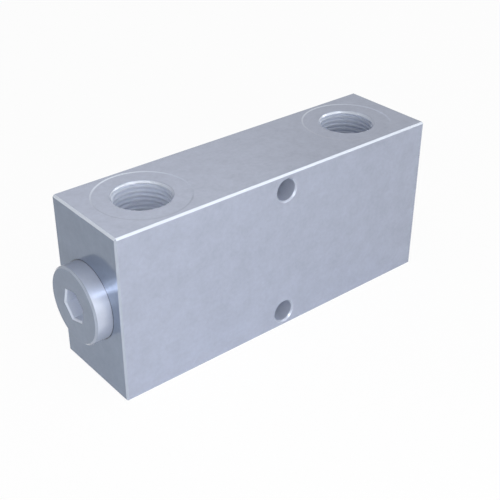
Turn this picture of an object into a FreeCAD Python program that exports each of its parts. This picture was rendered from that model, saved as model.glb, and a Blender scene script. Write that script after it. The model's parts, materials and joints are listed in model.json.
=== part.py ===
"""Dual pilot non-return valve, 3/8 inch, for line mounting.

A zinc-plated steel block is bored from end to end. A pilot piston slides in
the middle of the bore, and on each side of it a spring holds a poppet on its
seat. Pressure at one valve port opens the poppet beside it and moves the
piston, whose stem then lifts the other poppet off its seat.

The document's origin is at the bottom centre of the block: X runs along the
bore, Y to the back and Z up. Every turned piece is drawn in the XZ plane with
the bore's axis as its X axis, measured from the middle of the block, and is
turned half round about Z for the left side.
"""

import FreeCAD, Part
import Sketcher
import math
import os

# The driving sizes, in millimetres and degrees. Lengths along the bore start
# from the middle of the block.
SIZES = {
    # Block
    "BlockLength": 110,  # along the main bore
    "BlockWidth": 30,  # front to back
    "BlockHeight": 50,  # bottom to top
    "EdgeChamfer": 0.5,  # on all twelve edges
    # Mounting holes
    "MountingInset": 5,  # from the block's top or bottom to a hole's centre
    "MountingHole": 6.5,  # diameter, for an M6 screw
    "MountingChamfer": 0.45,  # at both mouths
    # Ports
    "PortThread": 16.66,  # diameter at the thread's root, G 3/8
    "PortDepth": 13,  # from the block's face to the end of the thread
    "PortChamfer": 0.1,  # outside the thread at the mouth
    "SpotFace": 27,  # diameter of the face for the fitting's seal
    "SpotFaceRim": 0.5,  # radial, the slope that the tool's corner leaves
    "SpotFaceDepth": 0.1,  # below the block's face
    "CylinderPortSpacing": 74,  # between the two ports on top
    "ValvePortSpacing": 34,  # between the two ports underneath
    "CylinderDrill": 10,  # diameter, from a top port to the poppet's chamber
    "ValveDrill": 8,  # diameter, from a bottom port to the pilot bore
    "DrillPoint": 118,  # degrees, the point of the port's drill
    # Main bore
    "PilotBore": 14,  # diameter at the middle
    "ChamberBore": 16,  # diameter round the seat and the poppet
    "ChamberStart": 22,  # from the middle to the shoulder that stops the seat
    "PlugThread": 18,  # diameter at the thread's root, M18
    "PlugBoreDepth": 11.5,  # from the block's end to the end of the thread
    "SealMouthRim": 0.9,  # radial, from the thread out to the mouth's edge
    "SealMouthDepth": 2.5,  # depth of the mouth's cone
    "SealMouthAngle": 15,  # degrees, half the cone's angle
    # Seals
    "GlandDepth": 2,  # from a groove's floor to the bore round it
    "GlandPlay": 0.15,  # beside the rings in their groove, each side
    "BackupThickness": 1.2,  # along the bore
    "BackupSlit": 3,  # degrees, where the ring is split
    "SealGap": 0.01,  # between a ring and the wall that it seals
    # Pilot piston
    "PistonLand": 17,  # length of the full diameter
    "PistonClearance": 0.02,  # radial, in the pilot bore
    "PistonChamfer": 0.4,  # at the ends of the land and the stems
    "StemDiameter": 4,  # the pins that lift the poppets
    "FreeTravel": 1.5,  # from a stem to the poppet's nose at rest
    # Seats
    "SeatLength": 8,  # along the bore
    "SeatBore": 8,  # diameter of the edge that the poppet closes
    "SeatClearance": 0.02,  # radial, in the chamber
    "SeatGland": 2,  # from the seat's inner face to its seal groove
    "SeatLeadIn": 0.5,  # chamfer inside, towards the piston
    "SeatCorner": 0.15,  # chamfer outside, at both ends
    # Snap rings
    "SnapWire": 1.4,  # diameter of the wire
    "SnapGrooveDepth": 0.5,  # below the chamber's wall
    "SnapPlay": 0.1,  # beside the wire in its groove
    "SnapOpening": 40,  # degrees, between the ring's ends
    # Poppets
    "PoppetLift": 3,  # from the seat to the stop
    "PoppetAngle": 45,  # degrees, half the cone's angle
    "PoppetNose": 3.2,  # diameter of the flat on the cone
    "PoppetChamfer": 0.4,  # at the guided end
    "SeatingGap": 0.01,  # between the cone and the seat's edge
    "SpringPocket": 8,  # diameter of the bore for the spring
    "SpringPocketDepth": 10,  # from the guided end
    "VentHole": 2,  # diameter, across the spring's pocket
    "VentPlace": 1.5,  # from the pocket's floor to the vent's centre
    # Springs
    "SpringWire": 0.8,  # diameter
    "SpringPlay": 0.25,  # radial, from the coils to the pocket's wall
    "SpringTurns": 7,  # with one closed turn at each end
    "SpringGap": 0.05,  # between the closed turns
    # Plugs
    "CollarDiameter": 22,  # outside the block
    "CollarThickness": 5,  # outside the block
    "CollarChamfer": 0.5,  # round the outer face
    "ShankLength": 11,  # inside the block
    "PlugChamfer": 1,  # at the start of the thread
    "PlugClearance": 0.05,  # radial, in the block's thread
    "UndercutDepth": 1.35,  # radial, from the block's thread to the ring's seat
    "GuideBore": 12,  # diameter round the poppet
    "GuideClearance": 0.03,  # radial, round the poppet
    "GuideLeadIn": 0.5,  # chamfer at the guide's mouth
    "GuideFloor": 3,  # thickness between the guide and the socket
    "SocketSize": 8,  # across the hexagon's flats
    "SocketDepth": 5,  # of the hexagon
    "SocketAngle": 15,  # degrees, how far the plug is screwed round
    "SocketChamfer": 0.5,  # round the hexagon's mouth
}

# Places along the bore are measured from the middle of the block.
BLOCK_END = "Sizes.BlockLength / 2"
AXIS_HEIGHT = "Sizes.BlockHeight / 2"
SEAT_FACE = "(Sizes.ChamberStart + Sizes.SeatLength)"
COLLAR_FACE = f"({BLOCK_END} + Sizes.CollarThickness)"
SOCKET_FLOOR = f"({COLLAR_FACE} - Sizes.SocketDepth)"
GUIDE_END = f"({SOCKET_FLOOR} - Sizes.GuideFloor)"
POPPET_TAIL = f"({GUIDE_END} - Sizes.PoppetLift)"
POCKET_FLOOR = f"({POPPET_TAIL} - Sizes.SpringPocketDepth)"

# The cone meets the seat's edge, so its ends follow from its two radii.
POPPET_RADIUS = "(Sizes.GuideBore / 2 - Sizes.GuideClearance)"
CONE_EDGE = f"({SEAT_FACE} + Sizes.SeatingGap)"
NOSE_PLACE = (f"({CONE_EDGE} - (Sizes.SeatBore - Sizes.PoppetNose) / 2"
              " / tan(Sizes.PoppetAngle))")
CONE_BASE = (f"({CONE_EDGE} + ({POPPET_RADIUS} - Sizes.SeatBore / 2)"
             " / tan(Sizes.PoppetAngle))")
STEM_END = f"({NOSE_PLACE} - Sizes.FreeTravel)"

# A groove holds an O-ring with its backup rings beside it.
RING_SECTION = "(Sizes.GlandDepth - 2 * Sizes.SealGap)"
PISTON_GLAND_HALF = (f"({RING_SECTION} / 2 + Sizes.BackupThickness"
                     " + Sizes.GlandPlay)")
PISTON_BACKUP = f"({RING_SECTION} / 2)"
SEAT_GLAND_START = "(Sizes.ChamberStart + Sizes.SeatGland)"
SEAT_BACKUP = f"({SEAT_GLAND_START} + Sizes.GlandPlay)"
SEAT_RING = f"({SEAT_BACKUP} + Sizes.BackupThickness + {RING_SECTION} / 2)"
SEAT_GLAND_END = f"({SEAT_RING} + {RING_SECTION} / 2 + Sizes.GlandPlay)"
SNAP_PLACE = f"({SEAT_FACE} + Sizes.SealGap + Sizes.SnapWire / 2)"
SNAP_GROOVE_END = f"({SEAT_FACE} + Sizes.SnapWire + Sizes.SnapPlay)"

# The plug's ring fits between the collar, the undercut and the block's cone.
UNDERCUT_RADIUS = "(Sizes.PlugThread / 2 - Sizes.UndercutDepth)"
PLUG_RING_ROOM = ("((Sizes.SealMouthRim + Sizes.UndercutDepth)"
                  " * cos(Sizes.SealMouthAngle)"
                  " / (1 + cos(Sizes.SealMouthAngle)"
                  " + sin(Sizes.SealMouthAngle)))")

Y_AXIS = FreeCAD.Vector(0, 1, 0)
Z_AXIS = FreeCAD.Vector(0, 0, 1)
ORIGIN = FreeCAD.Vector(0, 0, 0)
SIDES = (("left", -1), ("right", 1))
SAME = 1e-4  # millimetres, for finding an edge by its place
STEPS_A_TURN = 16  # points on a spring's centre line


def add_sizes(doc):
    """Write the driving sizes into a spreadsheet, one row each."""
    sheet = doc.addObject("Spreadsheet::Sheet", "Sizes")
    for row, (alias, value) in enumerate(SIZES.items(), start=1):
        sheet.set(f"A{row}", alias)
        sheet.set(f"B{row}", str(value))
        sheet.setAlias(f"B{row}", alias)
    doc.recompute()


def add_body(doc, label):
    """Start a body on the bore's axis, at half the block's height."""
    body = doc.addObject("PartDesign::Body", label)
    body.Label = label
    body.setExpression("Placement.Base.z", AXIS_HEIGHT)
    return body


def turn_to_side(piece, side):
    """Turn a piece drawn for the right half round to its own side."""
    if side < 0:
        piece.Placement = FreeCAD.Placement(ORIGIN, FreeCAD.Rotation(Z_AXIS, 180))
        piece.Document.recompute()


def origin_plane(body, role):
    """Find one of the body's own origin planes by its role."""
    return next(item for item in body.Origin.OriginFeatures if item.Role == role)


def add_sketch(body, name, role="XZ_Plane"):
    """Make an empty sketch on one of the body's origin planes."""
    sketch = body.newObject("Sketcher::SketchObject", name)
    sketch.AttachmentSupport = [(origin_plane(body, role), "")]
    sketch.MapMode = "FlatFace"
    return sketch


def value_of(doc, expression):
    """Work an expression out as a plain number of millimetres or degrees."""
    result = doc.getObject("Sizes").evalExpression(expression)
    return float(getattr(result, "Value", result))


def bind(sketch, kind, geometry, place, expression):
    """Hold one coordinate of a point, or a circle's radius, to an expression."""
    value = value_of(sketch.Document, expression)
    if kind == "Radius":
        constraint = Sketcher.Constraint(kind, geometry, value)
    else:
        constraint = Sketcher.Constraint(kind, -1, 1, geometry, place, value)
    index = sketch.addConstraint(constraint)
    sketch.setExpression(f"Constraints[{index}]", expression)


def draw_outline(sketch, corners):
    """Draw a closed outline through corners given as pairs of expressions."""
    doc = sketch.Document
    points = [FreeCAD.Vector(value_of(doc, across), value_of(doc, up), 0)
              for across, up in corners]
    first = sketch.GeometryCount
    count = len(points)
    for index in range(count):
        line = Part.LineSegment(points[index], points[(index + 1) % count])
        sketch.addGeometry(line, False)
    for index in range(count):
        following = first + (index + 1) % count
        sketch.addConstraint(
            Sketcher.Constraint("Coincident", first + index, 2, following, 1))
    for index, (across, up) in enumerate(corners):
        bind(sketch, "DistanceX", first + index, 1, across)
        bind(sketch, "DistanceY", first + index, 1, up)


def draw_circle(sketch, across, up, radius):
    """Draw a circle whose centre and radius are expressions."""
    doc = sketch.Document
    centre = FreeCAD.Vector(value_of(doc, across), value_of(doc, up), 0)
    circle = Part.Circle(centre, Z_AXIS, value_of(doc, radius))
    index = sketch.addGeometry(circle, False)
    bind(sketch, "DistanceX", index, 3, across)
    bind(sketch, "DistanceY", index, 3, up)
    bind(sketch, "Radius", index, 3, radius)


def revolve(body, name, corners, angle="360", kind="PartDesign::Revolution"):
    """Turn an outline round the bore's axis."""
    sketch = add_sketch(body, name + "Sketch")
    draw_outline(sketch, corners)
    feature = body.newObject(kind, name)
    feature.Profile = sketch
    feature.ReferenceAxis = (sketch, ["H_Axis"])
    feature.setExpression("Angle", angle)
    body.Document.recompute()
    return feature


def mirror_halves(body, name, features):
    """Repeat features on the other side of the block's middle."""
    mirror = body.newObject("PartDesign::Mirrored", name)
    mirror.Originals = features
    mirror.MirrorPlane = (origin_plane(body, "YZ_Plane"), [""])
    body.Tip = mirror
    body.Document.recompute()
    return mirror


def chamfer_edges(body, name, base, size, edges=None):
    """Chamfer the named edges of a body's last feature, or all of its edges."""
    chamfer = body.newObject("PartDesign::Chamfer", name)
    chamfer.Base = (base, edges or [""])
    chamfer.UseAllEdges = edges is None
    chamfer.setExpression("Size", size)
    body.Document.recompute()
    return chamfer


def bore_outline():
    """Half of the stepped main bore, from the middle to one end."""
    pilot = "Sizes.PilotBore / 2"
    chamber = "Sizes.ChamberBore / 2"
    snap_groove = "Sizes.ChamberBore / 2 + Sizes.SnapGrooveDepth"
    thread = "Sizes.PlugThread / 2"
    thread_start = f"{BLOCK_END} - Sizes.PlugBoreDepth"
    mouth = "Sizes.PlugThread / 2 + Sizes.SealMouthRim"
    mouth_start = f"{BLOCK_END} - Sizes.SealMouthDepth"
    mouth_inner = f"{mouth} - Sizes.SealMouthDepth * tan(Sizes.SealMouthAngle)"
    return [
        ("0", "0"),
        ("0", pilot),
        ("Sizes.ChamberStart", pilot),
        ("Sizes.ChamberStart", chamber),
        (SEAT_FACE, chamber),
        (SEAT_FACE, snap_groove),
        (SNAP_GROOVE_END, snap_groove),
        (SNAP_GROOVE_END, chamber),
        (thread_start, chamber),
        (thread_start, thread),
        (mouth_start, thread),
        (mouth_start, mouth_inner),
        (BLOCK_END, mouth),
        (BLOCK_END, "0"),
    ]


def add_port(body, name, spacing, drill, upward):
    """Cut a spot-faced port and the drilling that joins it to the main bore."""
    centre = f"{spacing} / 2"
    thread_edge = f"{centre} + Sizes.PortThread / 2"
    spot_edge = f"{centre} + Sizes.SpotFace / 2"
    drill_edge = f"{centre} + {drill} / 2"
    spot = "Sizes.SpotFaceDepth"
    point = f"(Sizes.PortThread - {drill}) / 2 / tan(Sizes.DrillPoint / 2)"
    outline = [
        (centre, "0"),
        (spot_edge, "0"),
        (f"{spot_edge} - Sizes.SpotFaceRim", spot),
        (f"{thread_edge} + Sizes.PortChamfer", spot),
        (thread_edge, f"{spot} + Sizes.PortChamfer"),
        (thread_edge, "Sizes.PortDepth"),
        (drill_edge, f"Sizes.PortDepth + {point}"),
        (drill_edge, AXIS_HEIGHT),
        (centre, AXIS_HEIGHT),
    ]
    sign = "" if upward else "-"
    corners = [(across, f"{sign}({AXIS_HEIGHT} - ({depth}))")
               for across, depth in outline]
    sketch = add_sketch(body, name + "Sketch")
    draw_outline(sketch, corners)
    centre_x = value_of(body.Document, centre)
    face_y = value_of(body.Document, corners[0][1])
    centre_line = Part.LineSegment(FreeCAD.Vector(centre_x, face_y, 0),
                                   FreeCAD.Vector(centre_x, 0, 0))
    axis = sketch.addGeometry(centre_line, True)
    sketch.addConstraint(Sketcher.Constraint("Coincident", axis, 1, 0, 1))
    sketch.addConstraint(Sketcher.Constraint("Coincident", axis, 2,
                                             len(corners) - 1, 1))
    port = body.newObject("PartDesign::Groove", name)
    port.Profile = sketch
    port.ReferenceAxis = (sketch, ["Axis0"])
    port.Angle = 360
    body.Document.recompute()
    return port


def edges_where(feature, test):
    """Name the edges of a feature that pass a test."""
    return [f"Edge{number}"
            for number, edge in enumerate(feature.Shape.Edges, start=1)
            if test(edge)]


def mounting_mouths(feature):
    """Find the mouths of the mounting holes on the front and the back."""
    radius = value_of(feature.Document, "Sizes.MountingHole / 2")
    face = value_of(feature.Document, "Sizes.BlockWidth / 2")

    def at_mouth(edge):
        if not isinstance(edge.Curve, Part.Circle):
            return False
        return (abs(abs(edge.Curve.Center.y) - face) < SAME
                and abs(edge.Curve.Radius - radius) < SAME)

    return edges_where(feature, at_mouth)


def make_block(doc):
    """The body of the valve: one piece of bar, milled, bored and drilled."""
    body = add_body(doc, "valve_block")
    end = BLOCK_END
    front = "Sizes.BlockWidth / 2"
    sketch = add_sketch(body, "BarSketch", "XY_Plane")
    draw_outline(sketch, [(f"-{end}", f"-{front}"), (end, f"-{front}"),
                          (end, front), (f"-{end}", front)])
    bar = body.newObject("PartDesign::Pad", "Bar")
    bar.Profile = sketch
    bar.Midplane = True
    bar.setExpression("Length", "Sizes.BlockHeight")
    doc.recompute()
    chamfer_edges(body, "BarEdges", bar, "Sizes.EdgeChamfer")

    cuts = [
        revolve(body, "MainBore", bore_outline(), kind="PartDesign::Groove"),
        add_port(body, "CylinderPort", "Sizes.CylinderPortSpacing",
                 "Sizes.CylinderDrill", upward=True),
        add_port(body, "ValvePort", "Sizes.ValvePortSpacing",
                 "Sizes.ValveDrill", upward=False),
    ]
    mirror_halves(body, "OtherHalf", cuts)

    sketch = add_sketch(body, "MountingSketch")
    for sign in ("", "-"):
        draw_circle(sketch, "0", f"{sign}({AXIS_HEIGHT} - Sizes.MountingInset)",
                    "Sizes.MountingHole / 2")
    holes = body.newObject("PartDesign::Pocket", "MountingHoles")
    holes.Profile = sketch
    holes.Type = 1
    holes.Midplane = True
    doc.recompute()
    chamfer_edges(body, "MountingMouths", holes, "Sizes.MountingChamfer",
                  mounting_mouths(holes))
    return body


def make_piston(doc):
    """The pilot piston: a sealed land with a stem each side."""
    body = add_body(doc, "pilot_piston")
    floor = "Sizes.PilotBore / 2 - Sizes.GlandDepth"
    land = "Sizes.PilotBore / 2 - Sizes.PistonClearance"
    land_end = "Sizes.PistonLand / 2"
    stem = "Sizes.StemDiameter / 2"
    half = revolve(body, "Half", [
        ("0", "0"),
        ("0", floor),
        (PISTON_GLAND_HALF, floor),
        (PISTON_GLAND_HALF, land),
        (f"{land_end} - Sizes.PistonChamfer", land),
        (land_end, f"{land} - Sizes.PistonChamfer"),
        (land_end, stem),
        (f"{STEM_END} - Sizes.PistonChamfer", stem),
        (STEM_END, f"{stem} - Sizes.PistonChamfer"),
        (STEM_END, "0"),
    ])
    mirror_halves(body, "OtherHalf", [half])
    return body


def make_seat(doc, label):
    """A seat sleeve with a seal groove round it."""
    body = add_body(doc, label)
    inside = "Sizes.SeatBore / 2"
    outside = "(Sizes.ChamberBore / 2 - Sizes.SeatClearance)"
    floor = "Sizes.ChamberBore / 2 - Sizes.GlandDepth"
    start = "Sizes.ChamberStart"
    corner = "Sizes.SeatCorner"
    revolve(body, "Sleeve", [
        (f"{start} + Sizes.SeatLeadIn", inside),
        (start, f"{inside} + Sizes.SeatLeadIn"),
        (start, f"{outside} - {corner}"),
        (f"{start} + {corner}", outside),
        (SEAT_GLAND_START, outside),
        (SEAT_GLAND_START, floor),
        (SEAT_GLAND_END, floor),
        (SEAT_GLAND_END, outside),
        (f"{SEAT_FACE} - {corner}", outside),
        (SEAT_FACE, f"{outside} - {corner}"),
        (SEAT_FACE, inside),
    ])
    return body


def make_poppet(doc, label):
    """A cone-nosed poppet, hollow at the back for its spring."""
    body = add_body(doc, label)
    pocket = "Sizes.SpringPocket / 2"
    revolve(body, "Cone", [
        (NOSE_PLACE, "0"),
        (NOSE_PLACE, "Sizes.PoppetNose / 2"),
        (CONE_BASE, POPPET_RADIUS),
        (f"{POPPET_TAIL} - Sizes.PoppetChamfer", POPPET_RADIUS),
        (POPPET_TAIL, f"{POPPET_RADIUS} - Sizes.PoppetChamfer"),
        (POPPET_TAIL, pocket),
        (POCKET_FLOOR, pocket),
        (POCKET_FLOOR, "0"),
    ])
    sketch = add_sketch(body, "VentSketch")
    draw_circle(sketch, f"{POCKET_FLOOR} + Sizes.VentPlace", "0",
                "Sizes.VentHole / 2")
    vent = body.newObject("PartDesign::Pocket", "Vent")
    vent.Profile = sketch
    vent.Type = 1
    vent.Midplane = True
    doc.recompute()
    return body


def make_plug(doc, label):
    """An end plug: a collar, a threaded shank and the poppet's guide."""
    body = add_body(doc, label)
    shank = "Sizes.PlugThread / 2 - Sizes.PlugClearance"
    undercut_start = f"{BLOCK_END} - Sizes.SealMouthDepth"
    collar = "Sizes.CollarDiameter / 2"
    guide = "Sizes.GuideBore / 2"
    inner_end = f"{BLOCK_END} - Sizes.ShankLength"
    revolve(body, "Turned", [
        (f"{inner_end} + Sizes.GuideLeadIn", guide),
        (inner_end, f"{guide} + Sizes.GuideLeadIn"),
        (inner_end, f"{shank} - Sizes.PlugChamfer"),
        (f"{inner_end} + Sizes.PlugChamfer", shank),
        (undercut_start, shank),
        (undercut_start, UNDERCUT_RADIUS),
        (BLOCK_END, UNDERCUT_RADIUS),
        (BLOCK_END, collar),
        (f"{COLLAR_FACE} - Sizes.CollarChamfer", collar),
        (COLLAR_FACE, f"{collar} - Sizes.CollarChamfer"),
        (COLLAR_FACE, "0"),
        (GUIDE_END, "0"),
        (GUIDE_END, guide),
    ])
    cut_socket(body)
    return body


def socket_mouth(feature):
    """Find the hexagon's six edges in the collar's outer face."""
    face = value_of(feature.Document, COLLAR_FACE)

    def in_face(edge):
        return (isinstance(edge.Curve, Part.Line)
                and all(abs(vertex.X - face) < SAME for vertex in edge.Vertexes))

    return edges_where(feature, in_face)


def cut_socket(body):
    """Cut the hexagon socket and chamfer its mouth."""
    corner_radius = "Sizes.SocketSize / 2 / cos(30)"
    angles = [f"(Sizes.SocketAngle + {60 * number})" for number in range(6)]
    sketch = add_sketch(body, "SocketSketch", "YZ_Plane")
    sketch.setExpression("AttachmentOffset.Base.z", COLLAR_FACE)
    draw_outline(sketch, [(f"{corner_radius} * cos{angle}",
                           f"{corner_radius} * sin{angle}") for angle in angles])
    socket = body.newObject("PartDesign::Pocket", "Socket")
    socket.Profile = sketch
    socket.setExpression("Length", "Sizes.SocketDepth")
    body.Document.recompute()
    chamfer_edges(body, "SocketMouth", socket, "Sizes.SocketChamfer",
                  socket_mouth(socket))


def make_ring(doc, label, place, ring_radius, section_radius, opening="0"):
    """A round ring about the bore's axis, open by some degrees if it is a snap ring."""
    ring = doc.addObject("Part::Torus", label)
    ring.Label = label
    ring.Placement = FreeCAD.Placement(ORIGIN, FreeCAD.Rotation(Y_AXIS, 90))
    ring.setExpression("Placement.Base.x", place)
    ring.setExpression("Placement.Base.z", AXIS_HEIGHT)
    ring.setExpression("Radius1", ring_radius)
    ring.setExpression("Radius2", section_radius)
    ring.setExpression("Angle3", f"360 - {opening}")
    doc.recompute()
    return ring


def make_backup(doc, label, start, bore):
    """A split backup ring of square section that fills a groove beside an O-ring."""
    body = add_body(doc, label)
    inside = f"{bore} / 2 - Sizes.GlandDepth + Sizes.SealGap"
    outside = f"{bore} / 2 - Sizes.SealGap"
    finish = f"{start} + Sizes.BackupThickness"
    revolve(body, "Ring", [(start, inside), (start, outside),
                           (finish, outside), (finish, inside)],
            angle="360 - Sizes.BackupSlit")
    return body


def spring_heights(length, wire, turns, gap):
    """Height of the wire's centre for each step round the coil.

    The first and the last turn lie close, and the turns between share what
    is left of the length evenly.
    """
    closed = wire + gap
    active = (length - 2 * closed) / (turns - 2)
    heights = [0.0]
    for step in range(round(turns * STEPS_A_TURN)):
        middle = (step + 0.5) / STEPS_A_TURN
        pitch = closed if middle < 1 or middle > turns - 1 else active
        heights.append(heights[-1] + pitch / STEPS_A_TURN)
    return heights


def make_spring(doc, label, side):
    """A compression spring with closed ends, ground flat."""
    length = value_of(doc, f"{GUIDE_END} - {POCKET_FLOOR}")
    wire = value_of(doc, "Sizes.SpringWire")
    turns = value_of(doc, "Sizes.SpringTurns")
    mean_radius = value_of(doc, "(Sizes.SpringPocket - Sizes.SpringWire) / 2"
                                " - Sizes.SpringPlay")
    gap = value_of(doc, "Sizes.SpringGap")
    centres = []
    for step, height in enumerate(spring_heights(length, wire, turns, gap)):
        angle = 2 * math.pi * step / STEPS_A_TURN
        centres.append(FreeCAD.Vector(mean_radius * math.cos(angle),
                                      mean_radius * math.sin(angle), height))
    path = Part.BSplineCurve()
    path.interpolate(centres)
    start = path.tangent(path.FirstParameter)[0]
    section = Part.Wire([Part.Circle(centres[0], start, wire / 2).toShape()])
    coil = Part.Wire([path.toShape()]).makePipeShell([section], True, True)
    ground = Part.makeCylinder(mean_radius + wire, length)
    spring = doc.addObject("Part::Feature", label)
    spring.Label = label
    spring.Shape = coil.common(ground)
    first = value_of(doc, POCKET_FLOOR) * side
    spring.Placement = FreeCAD.Placement(
        FreeCAD.Vector(first, 0, value_of(doc, AXIS_HEIGHT)),
        FreeCAD.Rotation(Y_AXIS, 90 * side))
    return spring


def make_side(doc, name, side):
    """Everything that lies on one side of the pilot piston."""
    ring_radius = "(Sizes.ChamberBore - Sizes.GlandDepth) / 2"
    snap_radius = ("Sizes.ChamberBore / 2 + Sizes.SnapGrooveDepth"
                   " - Sizes.SnapWire / 2 - Sizes.SealGap")
    turned = [
        make_seat(doc, f"{name}_seat"),
        make_backup(doc, f"{name}_seat_backup_ring", SEAT_BACKUP,
                    "Sizes.ChamberBore"),
        make_poppet(doc, f"{name}_poppet"),
        make_plug(doc, f"{name}_plug"),
    ]
    for piece in turned:
        turn_to_side(piece, side)
    rings = [
        make_ring(doc, f"{name}_seat_o_ring", f"{side} * {SEAT_RING}",
                  ring_radius, f"{RING_SECTION} / 2"),
        make_ring(doc, f"{name}_seat_snap_ring", f"{side} * {SNAP_PLACE}",
                  snap_radius, "Sizes.SnapWire / 2", "Sizes.SnapOpening"),
        make_ring(doc, f"{name}_plug_o_ring",
                  f"{side} * ({BLOCK_END} - {PLUG_RING_ROOM})",
                  f"{UNDERCUT_RADIUS} + {PLUG_RING_ROOM}",
                  f"{PLUG_RING_ROOM} - Sizes.SealGap"),
    ]
    return turned + rings + [make_spring(doc, f"{name}_spring", side)]


def make_piston_seals(doc):
    """The piston's O-ring with a backup ring on each side of it."""
    seals = [make_ring(doc, "piston_o_ring", "0",
                       "(Sizes.PilotBore - Sizes.GlandDepth) / 2",
                       f"{RING_SECTION} / 2")]
    for name, side in SIDES:
        backup = make_backup(doc, f"{name}_piston_backup_ring", PISTON_BACKUP,
                             "Sizes.PilotBore")
        turn_to_side(backup, side)
        seals.append(backup)
    return seals


def check(doc, pieces):
    """Stop if any object failed or any piece isn't one sound solid."""
    for item in doc.Objects:
        if "Invalid" in item.State or "Error" in item.State:
            raise RuntimeError(f"{item.Name} failed: {item.State}")
    for piece in pieces:
        shape = piece.Shape
        if shape.isNull() or not shape.isValid() or len(shape.Solids) != 1:
            raise RuntimeError(f"{piece.Label} isn't one sound solid")


def main():
    """Build every piece, check it and write it to its own file."""
    doc = FreeCAD.newDocument("DualPilotNonReturnValve")
    add_sizes(doc)
    pieces = [make_block(doc), make_piston(doc)]
    pieces += make_piston_seals(doc)
    for name, side in SIDES:
        pieces += make_side(doc, name, side)
    doc.recompute()
    check(doc, pieces)
    os.makedirs("parts", exist_ok=True)
    for piece in pieces:
        piece.Shape.exportStep(f"parts/{piece.Label}.step")
        print(f"{piece.Label:28s} {piece.Shape.Volume:10.2f} mm3")


main()
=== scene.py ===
"""Looks of a dual pilot non-return valve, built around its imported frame.

The frame holds every rigid piece of the valve at its real size. This file adds
what is too fine for it, the turns of the port threads and the wound springs,
gives each piece its finish, and sets the floor, the lamps and the camera of the
picture. Lengths are in metres. The block stands on z = 0 with its bore along X,
its ports up and down, and its back towards +Y.
"""

import json
import math
from typing import NamedTuple

import bmesh
import bpy
import numpy as np
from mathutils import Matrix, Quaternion, Vector


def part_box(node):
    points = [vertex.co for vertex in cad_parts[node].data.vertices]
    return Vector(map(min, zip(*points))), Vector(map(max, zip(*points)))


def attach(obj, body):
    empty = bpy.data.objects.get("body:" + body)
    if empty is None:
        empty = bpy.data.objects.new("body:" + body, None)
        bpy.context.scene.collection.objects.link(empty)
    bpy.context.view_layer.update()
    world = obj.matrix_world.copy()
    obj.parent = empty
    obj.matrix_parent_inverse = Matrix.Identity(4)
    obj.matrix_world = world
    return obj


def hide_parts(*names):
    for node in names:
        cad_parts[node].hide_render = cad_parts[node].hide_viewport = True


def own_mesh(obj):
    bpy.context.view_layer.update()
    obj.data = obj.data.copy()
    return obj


bl_info = {
    "name": "Dual pilot non-return valve",
    "version": (1, 0, 0),
    "blender": (4, 5, 0),
    "location": "View3D > Sidebar > Valve",
    "description": "Port threads, springs, finishes and stage of a hydraulic valve",
    "category": "Object",
}

# The frame, and the sizes that the looks take from it

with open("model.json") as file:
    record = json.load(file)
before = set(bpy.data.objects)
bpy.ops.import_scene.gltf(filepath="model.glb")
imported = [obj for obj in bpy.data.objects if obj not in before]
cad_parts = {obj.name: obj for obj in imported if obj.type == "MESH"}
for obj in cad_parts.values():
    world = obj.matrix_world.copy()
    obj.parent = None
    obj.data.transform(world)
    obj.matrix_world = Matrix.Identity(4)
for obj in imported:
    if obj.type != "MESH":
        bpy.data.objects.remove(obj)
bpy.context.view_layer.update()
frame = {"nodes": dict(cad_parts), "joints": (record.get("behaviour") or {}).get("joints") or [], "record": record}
MOUNTS = frame["record"]["mounts"]
PORTS = [mount for mount in MOUNTS if mount["kind"] == "threaded_hole"]
HOLES = next(mount for mount in MOUNTS if mount["kind"] == "bolt_pattern")
LIFTS = [joint for joint in frame["joints"] if "deforming_nodes" in joint]
BLOCK_LOW, BLOCK_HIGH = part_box("valve_block")
BORE_HEIGHT = (BLOCK_LOW.z + BLOCK_HIGH.z) / 2
PLUG_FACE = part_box("right_plug")[1].x
MM_IN_METRE = 1000
HOLE_RADIUS = HOLES["dims"]["hole_r_mm"] / MM_IN_METRE
HOLE_RISE = HOLES["dims"]["spacing_y_mm"] / 2 / MM_IN_METRE  # from the bore to a hole

# Places that the zinc's marks follow, in metres

EDGE_CHAMFER = 0.0005
EDGE_WEAR = 0.00012  # the width in which a mark fades out
HOLE_MOUTH_RADIUS = 0.0037
THREAD_MOUTH_DEPTH = 0.00083  # down to where the mouth's chamfer meets the crest
THREAD_MOUTH_RADIUS = 0.0083
SPOT_FACE_RADIUS = 0.0135
SPOT_FACE_RIM = 0.0005  # the width of its sloped rim
COLLAR_FACE_RADIUS = 0.0104  # inside the chamfer
COLLAR_SEAM_RADIUS = 0.01125  # of the painted shade line on the block round a collar
SOCKET_MOUTH_RADIUS = 0.0053  # takes in the hexagon's corners

# How strongly the marks show, from 0 to 1

# Rubbed edges, with painted highlights on rims, hole mouths and collar chamfers
UPRIGHT_BRIGHTNESS = 0.5
HOLE_MOUTH_BRIGHTNESS = 0.25
RIM_BRIGHTNESS = 0.9
COLLAR_BRIGHTNESS = 0.3
# Painted light: how far the zinc is lightened, and its metal lowered, in holes, sockets and on a collar's side
HOLE_PAINTED_LIGHT = 0.6
SOCKET_PAINTED_LIGHT = 0.85
COLLAR_PAINTED_LIGHT = 0.32
RIM_FADING = 4.0  # a power, of the share of the way from a rim's front to its back, so that the rim's painted highlight is strongest at its back

# The zinc's noise: features in a metre, and how far it swings the finish

CLOUD_SCALE = 220.0
MOTTLE_SCALE = 800.0
MILLING_SCALE = 4200.0
MILLING_STRETCH = 0.06  # how fast the marks change along the bar, 1 being as across
TURNING_SCALE = 5200.0
MOTTLE_IN_GLOSS = 0.6
MOTTLE_IN_HEIGHT = 0.7
ZINC_TINT = 0.22
ZINC_GLOSS = 0.03
ZINC_HEIGHT = 0.000004
# The painted shade line round a collar, as a share of the end zinc
SEAM_SHADE_TINT = 0.4

# Other constants

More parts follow.
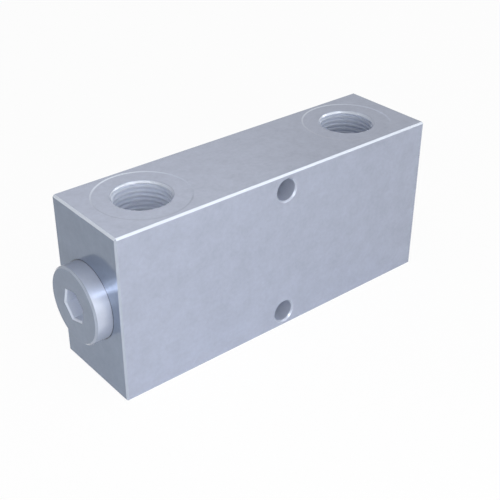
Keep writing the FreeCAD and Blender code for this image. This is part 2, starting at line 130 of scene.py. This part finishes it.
MID_FLANK = 0.25  # in pitches, from the middle of a groove
MID_CREST = 0.5  # the same
PLAIN_END = 0.3  # in run-outs, from the end of the groove to the bottom
CLOSED_TURNS = 2  # of a spring, one at each end
SAME_POINT = 0.0000001  # the distance at which two points are joined
SHARP_EDGE = math.radians(35)
FULL_TURN = 2 * math.pi
SENSOR_WIDTH = 36  # millimetres
CLIP_START = 0.01


def port_mouth(mount):
    """The middle of a port's mouth, in the block's face."""
    face = BLOCK_HIGH.z if mount["axis"][2] > 0 else BLOCK_LOW.z
    return (*mount["pos_m"][:2], face)


# Sizes and colours that a user may change

def length_property(name, description, default):
    """A length in metres with enough digits for a thread."""
    return bpy.props.FloatProperty(name=name, description=description, default=default,
                                   precision=6, unit="LENGTH", subtype="DISTANCE")


def place_property(name, description, default):
    """A point in the valve's own frame."""
    return bpy.props.FloatVectorProperty(name=name, description=description, size=3,
                                         default=default, precision=6, unit="LENGTH",
                                         subtype="TRANSLATION")


def colour_property(name, description, default):
    """A linear colour of a surface."""
    return bpy.props.FloatVectorProperty(name=name, description=description, size=3,
                                         default=default, min=0, max=1, subtype="COLOR")


def share_property(name, description, default):
    """A number from 0 to 1."""
    return bpy.props.FloatProperty(name=name, description=description, default=default,
                                   min=0, max=1, subtype="FACTOR")


def angle_property(name, description, default):
    """An angle, given in degrees and kept in radians."""
    return bpy.props.FloatProperty(name=name, description=description,
                                   default=math.radians(default), unit="ROTATION",
                                   subtype="ANGLE")


def count_property(name, description, default):
    """A number of steps or turns."""
    return bpy.props.IntProperty(name=name, description=description, default=default,
                                 min=1)


class ThreadSizes(bpy.types.PropertyGroup):
    """Sizes of the pipe threads in the four ports."""

    pitch: length_property("Pitch", "From one turn to the next", 0.001337)
    flank: angle_property("Flank", "Half the angle between two flanks", 27.5)
    depth: length_property("Depth", "Basic depth from crest to root", 0.000856)
    crest: length_property("Crest radius", "Radius left after tapping", 0.0077)
    seat: length_property("Seat", "Depth of the port's spot face", 0.0001)
    lip: length_property("Lip", "Depth of the block's own chamfer", 0.0001)
    bottom: length_property("Bottom", "From the block's face to the drill's point",
                            0.013)
    run_out: length_property("Run-out", "Length in which the groove fades", 0.0015)
    point: angle_property("Point", "Half the point angle of the drill", 59)
    phase: angle_property("Phase", "Where the first groove leaves the mouth", 3)
    skin: length_property("Skin", "Space left for the bore's flat facets", 0.00003)
    steps: count_property("Steps", "Steps round one turn", 160)
    rows: count_property("Rows", "Rows down one flank", 5)


class SpringSizes(bpy.types.PropertyGroup):
    """Sizes of the poppets' springs."""

    wire: length_property("Wire", "Diameter of the wire", 0.0008)
    turns: count_property("Turns", "All turns, closed ones too", 7)
    gap: length_property("Gap", "Between the closed turns", 0.00005)
    steps: count_property("Steps", "Steps round one turn", 64)
    facets: count_property("Facets", "Sides of the wire's section", 24)


class Finishes(bpy.types.PropertyGroup):
    """Colours and gloss of the valve's finishes."""

    zinc: colour_property("Zinc", "Bright zinc plate", (0.396, 0.432, 0.534))
    # Also the colour of the painted highlights on rims, port mouths and collar chamfers
    bright_zinc: colour_property("Bright zinc", "Zinc rubbed bright on the edges",
                                 (0.66, 0.71, 0.80))
    # A darker copy of the zinc for the ends and the plugs: painted shade of faces turned from the lamps
    shaded_end_zinc: colour_property("End zinc", "Zinc on the sawn ends and the plugs",
                              (0.237, 0.285, 0.376))
    # A lighter zinc for holes, sockets, threads and a collar's side: painted light in place of their shade
    painted_light_zinc: colour_property("Dull zinc", "Zinc inside holes and sockets",
                               (0.66, 0.71, 0.82))
    zinc_roughness: share_property("Zinc roughness", "Satin of the long sides", 0.25)
    end_roughness: share_property("End roughness", "Smoother ends and plugs", 0.12)
    zinc_metal: share_property("Zinc metal", "How much the plate mirrors", 0.55)
    dull_metal: share_property("Dull metal", "The same, inside holes", 0.25)
    ground: colour_property("Ground steel", "Hardened and ground", (0.42, 0.42, 0.43))
    ground_roughness: share_property("Ground roughness", "Of ground steel", 0.25)
    wire: colour_property("Spring wire", "Drawn spring steel", (0.26, 0.26, 0.28))
    wire_roughness: share_property("Wire roughness", "Of drawn wire", 0.35)
    rubber: colour_property("Rubber", "Nitrile rings", (0.012, 0.012, 0.013))
    rubber_roughness: share_property("Rubber roughness", "Of the O-rings", 0.5)
    ptfe: colour_property("Backup rings", "White, waxy", (0.78, 0.78, 0.76))
    ptfe_roughness: share_property("Backup ring roughness", "Waxy, not shiny", 0.4)


class StageSettings(bpy.types.PropertyGroup):
    """Camera, floor and light from all round."""

    eye: place_property("Eye", "Where the camera stands",
                        (-0.154716, -0.184651, 0.165433))
    target: place_property("Target", "What the camera looks at",
                           (-0.002936, -0.002837, 0.021432))
    roll: angle_property("Roll", "How far the camera leans to its left", 0.273)
    lens: bpy.props.FloatProperty(
        name="Lens", description="Focal length in millimetres", default=68.43,
        unit="CAMERA", subtype="DISTANCE_CAMERA")
    floor: colour_property("Floor", "Colour of the floor", (0.95, 0.95, 0.95))
    floor_width: length_property("Floor width", "Side of the square floor", 4.0)
    floor_white: share_property("Floor white", "How far the floor's shadow fades", 0.94)
    floor_mirrored: share_property("Floor mirrored", "The same share, seen in metal", 0.3)
    ambient: share_property("Ambient", "Strength of the light from all round", 0.565)


# Shader maths

class Value:
    """An output of a node, used as a number: each sum adds a Math node."""

    def __init__(self, shader, socket):
        self.shader = shader
        self.socket = socket

    def beside(self, name):
        """Another output of the same node."""
        return Value(self.shader, self.socket.node.outputs[name])

    def __add__(self, other):
        return self.shader.math("ADD", self, other)

    __radd__ = __add__

    def __sub__(self, other):
        return self.shader.math("SUBTRACT", self, other)

    def __rsub__(self, other):
        return self.shader.math("SUBTRACT", other, self)

    def __mul__(self, other):
        return self.shader.math("MULTIPLY", self, other)

    __rmul__ = __mul__

    def __truediv__(self, other):
        return self.shader.math("DIVIDE", self, other)

    def __rtruediv__(self, other):
        return self.shader.math("DIVIDE", other, self)

    def __pow__(self, other):
        return self.shader.math("POWER", self, other)

    def __rpow__(self, other):
        return self.shader.math("POWER", other, self)

    def __abs__(self):
        return self.shader.math("ABSOLUTE", self)


class Shader:
    """The node tree of one material or of the world."""

    def __init__(self, owner):
        owner.use_nodes = True
        self.tree = owner.node_tree
        self.tree.nodes.clear()

    def node(self, kind, settings=None, inputs=None, output=0):
        """Add a node, set it up, fill or link its inputs and return one output."""
        made = self.tree.nodes.new(kind)
        for name, setting in (settings or {}).items():
            setattr(made, name, setting)
        for name, value in (inputs or {}).items():
            if isinstance(value, Value):
                self.tree.links.new(value.socket, made.inputs[name])
            else:
                made.inputs[name].default_value = value
        return Value(self, made.outputs[output]) if len(made.outputs) else None

    def math(self, operation, *operands):
        """Add a Math node that works on values or numbers."""
        return self.node("ShaderNodeMath", {"operation": operation},
                         dict(enumerate(operands)))

    def place(self):
        """The point being shaded, in the valve's own frame."""
        return self.node("ShaderNodeTexCoord", output="Object")

    def split(self, vector):
        """The three parts of a vector."""
        across = self.node("ShaderNodeSeparateXYZ", inputs={"Vector": vector})
        return across, across.beside("Y"), across.beside("Z")

    def join(self, across, along, up):
        """A vector from three parts."""
        return self.node("ShaderNodeCombineXYZ", inputs={"X": across, "Y": along, "Z": up})

    def noise(self, where, scale, detail=2.0, roughness=0.5):
        """Noise from 0 to 1 with its features about 1 / scale metres across."""
        return self.node("ShaderNodeTexNoise",
                         inputs={"Vector": where, "Scale": scale, "Detail": detail,
                                 "Roughness": roughness})

    def least(self, first, *others):
        """The smallest of several values."""
        for other in others:
            first = self.math("MINIMUM", first, other)
        return first

    def most(self, first, second):
        """The larger of two values."""
        return self.math("MAXIMUM", first, second)

    def length(self, first, second):
        """The length of a flat vector from its two parts."""
        return self.math("SQRT", first * first + second * second)

    def distance(self, where, point):
        """How far a place is from a fixed point."""
        return self.node("ShaderNodeVectorMath", {"operation": "DISTANCE"},
                         {0: where, 1: point}, output="Value")

    def below(self, value, limit):
        """1 up to a limit, fading to 0 over the width of a rubbed edge."""
        return self.node("ShaderNodeMath", {"operation": "DIVIDE", "use_clamp": True},
                         {0: limit + EDGE_WEAR - value, 1: EDGE_WEAR})

    def blend(self, share, first, second):
        """Mix two colours.

        A Mix node has an A, a B and a result for each kind of data, so they are given
        by number here.
        """
        return self.node("ShaderNodeMix", {"data_type": "RGBA"},
                         {0: share, 6: first, 7: second}, output=2)

    def clouded(self, share, colour, swing):
        """A colour that gets lighter and darker with a share from 0 to 1."""
        return self.blend(share, tinted(colour, 1 - swing), tinted(colour, 1 + swing))

    def bump(self, height, depth):
        """A normal bent by a height, in metres for a height of 1."""
        return self.node("ShaderNodeBump", inputs={"Height": height, "Distance": depth})

    def surface(self, inputs):
        """The principled surface and the material's output."""
        shader = self.node("ShaderNodeBsdfPrincipled", inputs=inputs)
        self.node("ShaderNodeOutputMaterial", inputs={"Surface": shader})


def tinted(colour, factor=1.0):
    """A colour made lighter or darker, with an alpha of 1."""
    return tuple(part * factor for part in colour) + (1.0,)


def new_material(name):
    """An empty material and its shader."""
    material = bpy.data.materials.new(name)
    return material, Shader(material)


# Finishes

class Marks(NamedTuple):
    """Where a zinc-plated piece differs from plain plate, each from 0 to 1."""

    grain: Value  # fine tool marks
    bright: Value | float  # edges rubbed bright, and painted highlights on rims, mouths and a collar's chamfer
    dull_and_painted_light: Value | float  # painted light: a lighter, less metal zinc inside holes, sockets and threads and on a collar's side, where shade falls
    smooth: Value | float  # faces cut smoother, which also take the darker end zinc, a painted shade
    seam: Value | float = 0.0  # painted shade: a dark line on the end round a collar


def zinc_plate(name, finish, find_marks):
    """Bright zinc on machined steel: cloudy in tint, with tool marks in its gloss."""
    material, shader = new_material(name)
    place = shader.place()
    marks = find_marks(shader, place)
    cloud = shader.noise(place, CLOUD_SCALE, detail=3.0)
    mottle = shader.noise(place, MOTTLE_SCALE, detail=4.0, roughness=0.6)
    lightness = (cloud + mottle) / 2
    long_side = shader.clouded(lightness, finish.zinc, ZINC_TINT)
    # end is the darker end zinc, a painted shade
    end = shader.clouded(lightness, finish.shaded_end_zinc, ZINC_TINT)
    base = shader.blend(marks.smooth, long_side, end)
    # Painted light: lighter zinc in holes, sockets and threads and on a collar's side
    base = shader.blend(marks.dull_and_painted_light, base, tinted(finish.painted_light_zinc))
    # Rubbed edges and painted highlights
    base = shader.blend(marks.bright, base, tinted(finish.bright_zinc))
    # Painted shade round a collar
    base = shader.blend(marks.seam, base, tinted(finish.shaded_end_zinc, SEAM_SHADE_TINT))
    satin = marks.smooth * (finish.end_roughness - finish.zinc_roughness)
    streaks = mottle * MOTTLE_IN_GLOSS + marks.grain * (1 - MOTTLE_IN_GLOSS)
    gloss = satin + (finish.zinc_roughness - ZINC_GLOSS) + streaks * (2 * ZINC_GLOSS)
    height = mottle * MOTTLE_IN_HEIGHT + marks.grain * (1 - MOTTLE_IN_HEIGHT)
    metal = marks.dull_and_painted_light * (finish.dull_metal - finish.zinc_metal) + finish.zinc_metal
    shader.surface({"Base Color": base, "Roughness": gloss, "Metallic": metal,
                    "Normal": shader.bump(height, ZINC_HEIGHT)})
    return material


def way_back(along, radius):
    """0 at the front of a circle round a port, 1 at its back."""
    return along / (2 * radius) + 0.5


def milled_block_marks(shader, place):
    """The block: milled along the bar, turned on its spot faces, bright on rubbed edges, with painted highlights,
    painted light in its holes and painted shade on its ends.
    """
    across, along, up = shader.split(place)
    off_middle = abs(up - BORE_HEIGHT)
    to_end = BLOCK_HIGH.x - abs(across)
    to_side = BLOCK_HIGH.y - abs(along)
    to_top = BLOCK_HIGH.z - BORE_HEIGHT - off_middle
    level_edge = shader.below(shader.least(to_end + to_top, to_side + to_top),
                              EDGE_CHAMFER)
    upright_edge = shader.below(to_end + to_side, EDGE_CHAMFER)
    to_mouth = shader.least(*[shader.distance(place, port_mouth(mount))
                              for mount in PORTS])
    on_spot_face = shader.below(to_mouth, SPOT_FACE_RADIUS - SPOT_FACE_RIM)
    on_rim = shader.below(to_mouth, SPOT_FACE_RADIUS) - on_spot_face
    # The rim's painted highlight, strongest at its back and fading to its front
    rim_highlight = way_back(along, SPOT_FACE_RADIUS) ** RIM_FADING
    from_hole = shader.length(across, off_middle - HOLE_RISE)
    in_hole = shader.below(from_hole, HOLE_RADIUS)
    on_hole_mouth = shader.below(from_hole, HOLE_MOUTH_RADIUS) - in_hole
    on_end = shader.below(to_end, EDGE_CHAMFER)
    # The painted shade line on the end face round a collar
    collar_shade_ring = shader.below(shader.length(along, up - BORE_HEIGHT),
                               COLLAR_SEAM_RADIUS)
    milled = shader.noise(shader.join(across * MILLING_STRETCH, along, up),
                          MILLING_SCALE)
    turned = shader.noise(shader.join(to_mouth, 0.0, 0.0), TURNING_SCALE)
    return Marks(grain=milled + on_spot_face * (turned - milled),
                 bright=(shader.most(level_edge, upright_edge * UPRIGHT_BRIGHTNESS)
                         + on_rim * rim_highlight * RIM_BRIGHTNESS
                         + on_hole_mouth * HOLE_MOUTH_BRIGHTNESS),
                 dull_and_painted_light=in_hole * HOLE_PAINTED_LIGHT,
                 smooth=on_end,
                 seam=collar_shade_ring * on_end)


def turned_plug_marks(shader, place):
    """A plug: turned round the bore's axis, with a painted highlight on its collar's chamfer, painted light in its
    socket and on its collar's side, and painted shade on its face.
    """
    across, along, up = shader.split(place)
    radius = shader.length(along, up - BORE_HEIGHT)
    from_face = PLUG_FACE - abs(across)
    on_face = shader.below(from_face, 0.0)
    in_socket = shader.below(radius, SOCKET_MOUTH_RADIUS) * (1.0 - on_face)
    outside = 1.0 - shader.below(radius, COLLAR_FACE_RADIUS)
    on_chamfer = outside * shader.below(from_face, EDGE_CHAMFER)
    on_side = outside - on_chamfer
    return Marks(grain=shader.noise(shader.join(radius, across, 0.0), TURNING_SCALE),
                 # Painted highlight on the chamfer, painted light in the socket and on the side, and the darker
                 # end zinc, a painted shade, on all but the side
                 bright=on_chamfer * COLLAR_BRIGHTNESS,
                 dull_and_painted_light=in_socket * SOCKET_PAINTED_LIGHT + on_side * COLLAR_PAINTED_LIGHT,
                 smooth=1.0 - on_side)


def tapped_port_marks(shader, place):
    """A port's thread: painted light inside, and a painted highlight at the back of its mouth."""
    _, along, up = shader.split(place)
    inward = BLOCK_HIGH.z - BORE_HEIGHT - abs(up - BORE_HEIGHT)
    on_mouth = shader.below(inward, THREAD_MOUTH_DEPTH)
    return Marks(grain=shader.noise(place, MILLING_SCALE),
                 # A painted highlight growing to the back of the mouth, and painted light deeper in
                 bright=on_mouth * way_back(along, THREAD_MOUTH_RADIUS),
                 dull_and_painted_light=1.0 - on_mouth,
                 smooth=0.0)


class Stock(NamedTuple):
    """What a plain finish is made of, and how far its fine grain swings it."""

    metallic: float
    scale: float  # features in a metre
    detail: float
    tint: float
    gloss: float
    height: float  # metres


STEEL = Stock(metallic=1.0, scale=3000.0, detail=3.0, tint=0.1, gloss=0.04,
              height=0.000002)
MOULDING = Stock(metallic=0.0, scale=2500.0, detail=4.0, tint=0.15, gloss=0.05,
                 height=0.000003)


def plain_finish(name, stock, colour, roughness):
    """Bare steel, rubber or plastic, with a fine grain in tint, gloss and height."""
    material, shader = new_material(name)
    grain = shader.noise(shader.place(), stock.scale, detail=stock.detail)
    gloss = roughness - stock.gloss + grain * (2 * stock.gloss)
    shader.surface({"Base Color": shader.clouded(grain, colour, stock.tint),
                    "Roughness": gloss, "Metallic": stock.metallic,
                    "Normal": shader.bump(grain, stock.height)})
    return material


# Meshes

def tube(rings):
    """Points and faces of an open tube, from a grid with one row for each ring."""
    index = np.arange(rings.shape[0] * rings.shape[1]).reshape(rings.shape[:2])
    turned = np.roll(index, -1, axis=1)
    faces = np.stack([index[:-1], turned[:-1], turned[1:], index[1:]], axis=-1)
    return rings.reshape(-1, 3).tolist(), faces.reshape(-1, 4).tolist()


def finished_mesh(name, points, faces):
    """A smooth mesh with its double points joined and its faces turned outwards."""
    build = bmesh.new()
    made = [build.verts.new(point) for point in points]
    for face in faces:
        build.faces.new([made[index] for index in face])
    bmesh.ops.remove_doubles(build, verts=build.verts, dist=SAME_POINT)
    bmesh.ops.recalc_face_normals(build, faces=build.faces)
    mesh = bpy.data.meshes.new(name)
    build.to_mesh(mesh)
    build.free()
    mesh.shade_smooth()
    mesh.set_sharp_from_angle(angle=SHARP_EDGE)
    return mesh


def add_object(name, data):
    """Link a mesh, a lamp or a camera to the scene."""
    made = bpy.data.objects.new(name, data)
    bpy.context.scene.collection.objects.link(made)
    return made


def add_piece(name, mesh, material, body):
    """Link a mesh as a piece that rides on a body of the frame."""
    piece = add_object(name, mesh)
    mesh.materials.append(material)
    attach(piece, body)
    return piece


def thread_section(sizes, root):
    """One pitch of the section: its points' places, in pitches, and their radii."""
    middle = root - sizes.depth / 2
    lean = math.tan(sizes.flank) / sizes.pitch
    floor_end = MID_FLANK - (root - middle) * lean
    crest_start = MID_FLANK + (middle - sizes.crest) * lean
    half = np.array([0.0, *np.linspace(floor_end, crest_start, sizes.rows), MID_CREST])
    radii = np.array([root, *np.linspace(root, sizes.crest, sizes.rows), sizes.crest])
    places = np.concatenate([-half[:0:-1], half[:-1]])
    return places, np.concatenate([radii[:0:-1], radii[:-1]])


def thread_rows(sizes, root, angle):
    """Depths and radii of the rows that follow a thread, one column for each angle.

    They start in the mouth's chamfer and end on the drill's point, above which the
    groove runs out. Two more rows close the thread behind the port's wall.
    """
    top = sizes.seat + sizes.lip
    end = sizes.bottom + (root - sizes.crest) / math.tan(sizes.point)
    # One row for each point of the section in every groove: its place in pitches, and
    # its radius where the groove is full
    places, section = thread_section(sizes, root - sizes.skin)
    grooves = np.arange(-1, math.ceil(end / sizes.pitch) + 2)
    turned = (grooves[:, None] + places).reshape(-1, 1)
    cut = np.tile(section, len(grooves))[:, None]
    depth = np.clip(sizes.pitch * (turned - (angle - sizes.phase) / FULL_TURN), top, end)
    fading = np.clip((sizes.bottom - depth) / sizes.run_out - PLAIN_END, 0, 1)
    radius = np.maximum(sizes.crest + (cut - sizes.crest) * fading, root - (depth - top))
    behind = np.array([[sizes.bottom], [top]]) * np.ones_like(angle)
    depth = np.concatenate([depth, behind])
    radius = np.concatenate([radius, np.full_like(behind, root + sizes.skin)])
    return depth, radius


def port_thread(sizes, mount):
    """Points and faces of one port's thread: its whole section, swept round the port."""
    angle = np.linspace(0, FULL_TURN, sizes.steps + 1)
    depth, radius = thread_rows(sizes, mount["dims"]["r_mm"] / MM_IN_METRE, angle)
    upward = mount["axis"][2]
    centre_x, centre_y, face = port_mouth(mount)
    rows = np.stack([centre_x + radius * np.cos(angle),
                     centre_y + upward * radius * np.sin(angle),
                     face - upward * depth], axis=-1)
    return tube(rows.swapaxes(0, 1))


def spring_heights(sizes, length):
    """Heights of the wire's middle along the coil, closed at both ends."""
    closed = sizes.wire + sizes.gap
    active = (length - CLOSED_TURNS * closed) / (sizes.turns - CLOSED_TURNS)
    turn = (np.arange(sizes.turns * sizes.steps) + 0.5) / sizes.steps
    pitch = np.where((turn < 1) | (turn > sizes.turns - 1), closed, active)
    return np.concatenate([[0.0], np.cumsum(pitch) / sizes.steps])


def wound_spring(sizes, low, high):
    """Points and faces of a compression spring whose ends are ground flat."""
    length = high.x - low.x
    radius = (high.y - low.y - sizes.wire) / 2
    heights = spring_heights(sizes, length)
    angle = np.arange(len(heights)) * FULL_TURN / sizes.steps
    section = np.arange(sizes.facets) * FULL_TURN / sizes.facets
    wire = sizes.wire / 2
    out = radius + wire * np.cos(section)[None, :]
    along = heights[:, None] + wire * np.sin(section)[None, :]
    points, faces = tube(np.stack([low.x + np.clip(along, 0, length),
                                   (low.y + high.y) / 2 + out * np.cos(angle)[:, None],
                                   (low.z + high.z) / 2 + out * np.sin(angle)[:, None]],
                                  axis=-1))
    first_end = list(range(sizes.facets))[::-1]
    last_end = list(range(len(points) - sizes.facets, len(points)))
    return points, faces + [first_end, last_end]


# Stage

class Lamp(NamedTuple):
    """A square soft lamp, placed round the bore's middle and aimed at its axis.

    Azimuth, elevation and spread are in degrees, and azimuth 0 is in front. Power is
    in watts: a narrow spread keeps all of it near the beam's middle, so it needs
    little. aim_x is the place along the axis that the lamp is aimed at.
    """

    name: str
    azimuth: float
    elevation: float
    distance: float
    width: float
    power: float
    spread: float = 180.0
    aim_x: float = 0.0


LAMPS = (
    Lamp("edge_light", azimuth=46, elevation=41, distance=0.75, width=0.30, power=0.19),
    Lamp("near_light", azimuth=-15, elevation=12, distance=0.25, width=0.12, power=0.165,
         aim_x=-0.06),
    Lamp("low_light", azimuth=-15, elevation=10, distance=0.40, width=0.24, power=0.25,
         aim_x=-0.05),
    Lamp("view_light", azimuth=-40, elevation=33, distance=0.50, width=0.10, power=0.0062,
         spread=16, aim_x=-0.057),
    Lamp("back_light", azimuth=150, elevation=40, distance=0.75, width=0.30, power=0.126),
    Lamp("collar_light", azimuth=-50, elevation=43, distance=0.50, width=0.12,
         power=0.0030, spread=16, aim_x=-0.057),
    Lamp("soft_light", azimuth=30, elevation=20, distance=0.75, width=0.50, power=0.60),
    Lamp("wide_light", azimuth=-40, elevation=33, distance=0.75, width=0.80, power=0.95),
    Lamp("right_light", azimuth=76, elevation=33, distance=0.60, width=0.14, power=0.12),
    Lamp("top_light", azimuth=15, elevation=58, distance=0.60, width=0.18, power=0.13),
)


def facing(place, target):
    """The turn of a lamp or camera at a place that looks at a target."""
    return (Vector(target) - Vector(place)).to_track_quat("-Z", "Y")


def seen_directly(shader, mirrored=1.0):
    """1 for what the camera sees, a share in metal or through glass, 0 for light."""
    camera = shader.node("ShaderNodeLightPath", output="Is Camera Ray")
    in_piece = shader.most(camera.beside("Is Glossy Ray"),
                           camera.beside("Is Transmission Ray"))
    return shader.most(camera, in_piece * mirrored)


def add_floor(settings):
    """A plain floor that shows nearly white and keeps a faint shadow."""
    half = settings.floor_width / 2
    corners = [(-half, -half, 0), (half, -half, 0), (half, half, 0), (-half, half, 0)]
    mesh = bpy.data.meshes.new("floor")
    mesh.from_pydata(corners, [], [(0, 1, 2, 3)])
    material, shader = new_material("floor")
    lit = shader.node("ShaderNodeBsdfDiffuse", inputs={"Color": tinted(settings.floor)})
    white = shader.node("ShaderNodeEmission", inputs={"Strength": 1.0})
    mirrored = settings.floor_mirrored / settings.floor_white
    share = seen_directly(shader, mirrored) * settings.floor_white
    mixed = shader.node("ShaderNodeMixShader", inputs={0: share, 1: lit, 2: white})
    shader.node("ShaderNodeOutputMaterial", inputs={"Surface": mixed})
    mesh.materials.append(material)
    floor = add_object("floor", mesh)


def add_world(scene, settings):
    """White where it is seen, and a soft light from all round."""
    scene.world = bpy.data.worlds.new("studio")
    shader = Shader(scene.world)
    strength = settings.ambient + seen_directly(shader) * (1.0 - settings.ambient)
    light = shader.node("ShaderNodeBackground", inputs={"Strength": strength})
    shader.node("ShaderNodeOutputWorld", inputs={"Surface": light})


def add_lamp(lamp):
    """Put up one lamp, which the camera doesn't see."""
    data = bpy.data.lights.new(lamp.name, "AREA")
    data.size = lamp.width
    data.energy = lamp.power
    data.spread = math.radians(lamp.spread)
    piece = add_object(lamp.name, data)
    piece.visible_camera = False
    turn, rise = math.radians(lamp.azimuth), math.radians(lamp.elevation)
    level = math.cos(rise)
    direction = Vector((math.sin(turn) * level, -math.cos(turn) * level, math.sin(rise)))
    piece.location = Vector((0, 0, BORE_HEIGHT)) + direction * lamp.distance
    turned = facing(piece.location, (lamp.aim_x, 0, BORE_HEIGHT))
    piece.rotation_euler = turned.to_euler()


def add_camera(scene, settings):
    """The camera at the picture's own place."""
    data = bpy.data.cameras.new("camera")
    data.sensor_width = SENSOR_WIDTH
    data.lens = settings.lens
    data.clip_start = CLIP_START
    camera = add_object("camera", data)
    camera.location = settings.eye
    lean = Quaternion((0, 0, 1), settings.roll)
    camera.rotation_euler = (facing(settings.eye, settings.target) @ lean).to_euler()
    scene.camera = camera


# Operators

class VALVE_OT_stage(bpy.types.Operator):
    """Add the floor, the world, the lamps and the camera."""

    bl_idname = "valve.stage"
    bl_label = "Stage"

    def execute(self, context):
        settings = context.scene.valve_stage
        add_floor(settings)
        add_world(context.scene, settings)
        for lamp in LAMPS:
            add_lamp(lamp)
        add_camera(context.scene, settings)
        context.scene.view_settings.view_transform = "Standard"
        return {"FINISHED"}


class VALVE_OT_port_threads(bpy.types.Operator):
    """Add the turns of the pipe thread in every port."""

    bl_idname = "valve.port_threads"
    bl_label = "Port threads"

    def execute(self, context):
        if not PORTS:
            raise RuntimeError("the frame has no threaded port")
        scene = context.scene
        material = zinc_plate("tapped_zinc", scene.valve_finishes, tapped_port_marks)
        for mount in PORTS:
            name = mount["name"] + "_thread"
            mesh = finished_mesh(name, *port_thread(scene.valve_thread, mount))
            add_piece(name, mesh, material, "valve_body")
        return {"FINISHED"}


class VALVE_OT_springs(bpy.types.Operator):
    """Wind the springs that close the poppets."""

    bl_idname = "valve.springs"
    bl_label = "Springs"

    def execute(self, context):
        if not LIFTS:
            raise RuntimeError("the frame has no joint that shortens a spring")
        scene = context.scene
        finish = scene.valve_finishes
        material = plain_finish("spring_wire", STEEL, finish.wire, finish.wire_roughness)
        for lift in LIFTS:
            node = lift["deforming_nodes"][0]["node"]
            low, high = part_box(node)
            name = node + "_wound"
            mesh = finished_mesh(name, *wound_spring(scene.valve_spring, low, high))
            spring = add_piece(name, mesh, material, "valve_body")
            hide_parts(node)
            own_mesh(spring)
        return {"FINISHED"}


class VALVE_OT_finishes(bpy.types.Operator):
    """Give every rigid piece of the frame its finish."""

    bl_idname = "valve.finishes"
    bl_label = "Finishes"

    def execute(self, context):
        finish = context.scene.valve_finishes
        materials = {
            "zinc_plated_steel": zinc_plate("milled_zinc", finish, milled_block_marks),
            "hardened_steel": plain_finish("ground_steel", STEEL, finish.ground,
                                           finish.ground_roughness),
            "spring_steel": plain_finish("snap_ring_wire", STEEL, finish.wire,
                                         finish.wire_roughness),
            "nitrile_rubber": plain_finish("nitrile_rubber", MOULDING, finish.rubber,
                                           finish.rubber_roughness),
            "ptfe": plain_finish("ptfe", MOULDING, finish.ptfe, finish.ptfe_roughness),
        }
        turned_zinc = zinc_plate("turned_zinc", finish, turned_plug_marks)
        for part in frame["record"]["subparts"]:
            is_plug = part["node"].endswith("_plug")
            material = turned_zinc if is_plug else materials[part["material_slot"]]
            for slot in frame["nodes"][part["node"]].material_slots:
                slot.material = material
        return {"FINISHED"}


class VALVE_PT_panel(bpy.types.Panel):
    """The steps that dress the valve, in order, and the settings that they read."""

    bl_idname = "VALVE_PT_panel"
    bl_label = "Valve"
    bl_space_type = "VIEW_3D"
    bl_region_type = "UI"
    bl_category = "Valve"

    def draw(self, context):
        for operator in OPERATORS:
            self.layout.operator(operator.bl_idname)
        for name, group in SETTINGS.items():
            box = self.layout.box()
            for field in group.__annotations__:
                box.prop(getattr(context.scene, name), field)


SETTINGS = {
    "valve_thread": ThreadSizes,
    "valve_spring": SpringSizes,
    "valve_finishes": Finishes,
    "valve_stage": StageSettings,
}
OPERATORS = (VALVE_OT_stage, VALVE_OT_port_threads, VALVE_OT_springs,
             VALVE_OT_finishes)
CLASSES = (*SETTINGS.values(), *OPERATORS, VALVE_PT_panel)


def register():
    """Register the classes and hang the settings on the scene."""
    for item in CLASSES:
        bpy.utils.register_class(item)
    for name, group in SETTINGS.items():
        setattr(bpy.types.Scene, name, bpy.props.PointerProperty(type=group))


def unregister():
    """Take the settings and the classes away again."""
    for name in SETTINGS:
        delattr(bpy.types.Scene, name)
    for item in reversed(CLASSES):
        bpy.utils.unregister_class(item)


def main():
    """Register the classes and run every step."""
    register()
    for operator in OPERATORS:
        group, name = operator.bl_idname.split(".")
        getattr(getattr(bpy.ops, group), name)()


if __name__ == "__main__":
    main()
